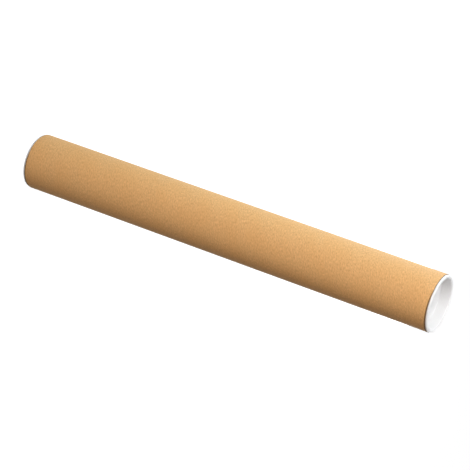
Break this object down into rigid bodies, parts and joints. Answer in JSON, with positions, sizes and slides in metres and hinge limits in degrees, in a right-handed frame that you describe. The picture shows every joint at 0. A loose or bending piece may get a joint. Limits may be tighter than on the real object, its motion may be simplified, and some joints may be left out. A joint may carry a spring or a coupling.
{
  "type": "cardboard mailing tube",
  "caption": "Long round brown board tube for sending rolled sheets, closed at both ends by recessed white push-fit plastic caps.",
  "frame": {"origin": "under the middle of the tube, on the lower cap's face that the tube stands on", "axes": "+Z along the tube's axis, towards the cap that the picture shows"},
  "size_m": [0.08, 0.08, 0.635],
  "materials": {
    "kraft_board": "uncoated brown kraft paper, matt with a faint sheen along the winding",
    "white_plastic": "white injection-moulded polyethylene, satin"
  },
  "bodies": {
    "tube": {"tube": "kraft_board"},
    "top_cap": {"top_cap": "white_plastic"},
    "bottom_cap": {"bottom_cap": "white_plastic"}
  },
  "joints": [
    {"name": "top_cap_pull", "type": "slide", "parent": "tube", "child": "top_cap", "axis": [0, 0, 1], "range_m": [0, 0.12]},
    {"name": "bottom_cap_pull", "type": "slide", "parent": "tube", "child": "bottom_cap", "axis": [0, 0, -1], "range_m": [0, 0.12]}
  ]
}
